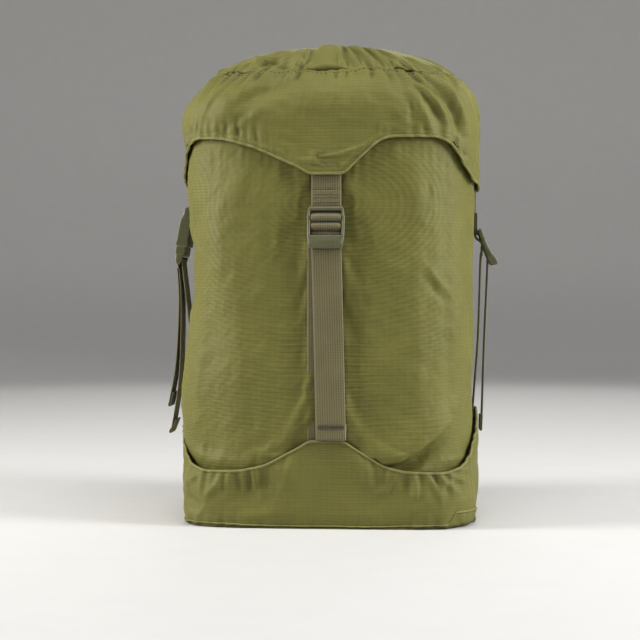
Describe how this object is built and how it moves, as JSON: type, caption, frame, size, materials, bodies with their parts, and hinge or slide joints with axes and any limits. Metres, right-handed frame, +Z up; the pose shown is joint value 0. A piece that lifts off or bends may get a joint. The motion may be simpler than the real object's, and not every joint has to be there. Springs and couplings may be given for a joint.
{
  "type": "compression sack",
  "caption": "Drawcord nylon sack squeezed between a scalloped cap and a base cup by webbing straps with ladder locks and a side-release buckle.",
  "frame": {"origin": "centre of the base, on the ground", "axes": "+Z up along the sack, -Y towards the front strap, +X towards the right-hand strap"},
  "size_m": [0.2879, 0.234, 0.403],
  "materials": {
    "nylon": "olive ripstop nylon with a soft sheen",
    "binding": "rolled and bound hem",
    "webbing": "ribbed khaki webbing",
    "thread": "sewing thread",
    "cord": "braided cord",
    "buckle": "moulded olive acetal, satin",
    "spring_steel": "drawn wire"
  },
  "bodies": {
    "base": {"base_panel": "nylon", "cup_skirt": "nylon", "cup_binding": "binding", "cup_bar_tacks": "thread", "sack_tube": "nylon", "front_load_strap": "webbing", "right_load_strap": "webbing", "back_load_strap": "webbing", "left_load_strap": "webbing"},
    "cap": {"cap_crown": "nylon", "cap_skirt": "nylon", "cap_binding": "binding", "cap_bar_tacks": "thread", "neck_collar": "nylon", "neck_channel": "nylon", "drawcord": "cord", "cord_knot": "cord", "front_upper_strap": "webbing", "right_upper_strap": "webbing", "back_upper_strap": "webbing", "left_upper_strap": "webbing", "buckle_socket": "buckle"},
    "front_lock": {"front_ladder_lock": "buckle", "front_lock_wrap": "webbing"},
    "right_lock": {"right_ladder_lock": "buckle", "right_lock_wrap": "webbing"},
    "back_lock": {"back_ladder_lock": "buckle", "back_lock_wrap": "webbing"},
    "front_tail": {"front_tail": "webbing"},
    "right_tail": {"right_tail": "webbing"},
    "back_tail": {"back_tail": "webbing"},
    "plug": {"buckle_plug": "buckle"},
    "left_tails": {"left_long_tail": "webbing", "left_short_tail": "webbing"},
    "prong_front": {"plug_prong_front": "buckle"},
    "prong_back": {"plug_prong_back": "buckle"},
    "cord_lock": {"cord_lock_barrel": "buckle", "cord_lock_spring": "spring_steel"},
    "plunger": {"cord_lock_plunger": "buckle"}
  },
  "joints": [
    {"name": "cap_travel", "type": "slide", "parent": "base", "child": "cap", "axis": [0, 0, 1], "range_m": [-0.1, 0], "deforming": ["sack_tube", "front_load_strap", "right_load_strap", "back_load_strap", "left_load_strap"]},
    {"name": "front_tail_pull", "type": "slide", "parent": "cap", "child": "front_tail", "axis": [0, 0, 1], "range_m": [-0.1, 0]},
    {"name": "right_tail_pull", "type": "slide", "parent": "cap", "child": "right_tail", "axis": [0, 0, 1], "range_m": [-0.1, 0]},
    {"name": "back_tail_pull", "type": "slide", "parent": "cap", "child": "back_tail", "axis": [0, 0, 1], "range_m": [-0.1, 0]},
    {"name": "left_tails_pull", "type": "slide", "parent": "plug", "child": "left_tails", "axis": [0, 0, 1], "range_m": [-0.1, 0]},
    {"name": "front_lock_tilt", "type": "hinge", "parent": "cap", "child": "front_lock", "pos_m": [0, -0.1106, 0.2494], "axis": [-1, 0, 0], "range_deg": [0, 45], "deforming": ["front_upper_strap"]},
    {"name": "right_lock_tilt", "type": "hinge", "parent": "cap", "child": "right_lock", "pos_m": [0.128, 0, 0.2355], "axis": [0, -1, 0], "range_deg": [0, 28], "deforming": ["right_upper_strap"]},
    {"name": "back_lock_tilt", "type": "hinge", "parent": "cap", "child": "back_lock", "pos_m": [0, 0.1106, 0.2494], "axis": [1, 0, 0], "range_deg": [0, 45], "deforming": ["back_upper_strap"]},
    {"name": "clip_release", "type": "slide", "parent": "cap", "child": "plug", "axis": [-0.1736, 0, -0.9848], "range_m": [0, 0.03]},
    {"name": "prong_front_flex", "type": "hinge", "parent": "plug", "child": "prong_front", "pos_m": [-0.13209, -0.0115, 0.22617], "axis": [-0.9848, 0, 0.1736], "range_deg": [0, 7], "stiffness_Nm_per_rad": 0.2, "springref_deg": -114.59},
    {"name": "prong_back_flex", "type": "hinge", "parent": "plug", "child": "prong_back", "pos_m": [-0.13209, 0.0115, 0.22617], "axis": [0.9848, 0, -0.1736], "range_deg": [0, 7], "stiffness_Nm_per_rad": 0.2, "springref_deg": -114.59},
    {"name": "cord_lock_slide", "type": "slide", "parent": "cap", "child": "cord_lock", "axis": [0, -1, 0], "range_m": [-0.008, 0.016]},
    {"name": "plunger_press", "type": "slide", "parent": "cord_lock", "child": "plunger", "axis": [0, 0, -1], "range_m": [0, 0.003], "stiffness_N_per_m": 600, "springref_m": -0.002, "deforming": ["cord_lock_spring"]}
  ],
  "couplings": [
    {"joint": "front_tail_pull", "follows": "cap_travel", "ratio": 1},
    {"joint": "right_tail_pull", "follows": "cap_travel", "ratio": 1},
    {"joint": "back_tail_pull", "follows": "cap_travel", "ratio": 1},
    {"joint": "left_tails_pull", "follows": "cap_travel", "ratio": 1},
    {"joint": "prong_back_flex", "follows": "prong_front_flex", "ratio": 1}
  ]
}
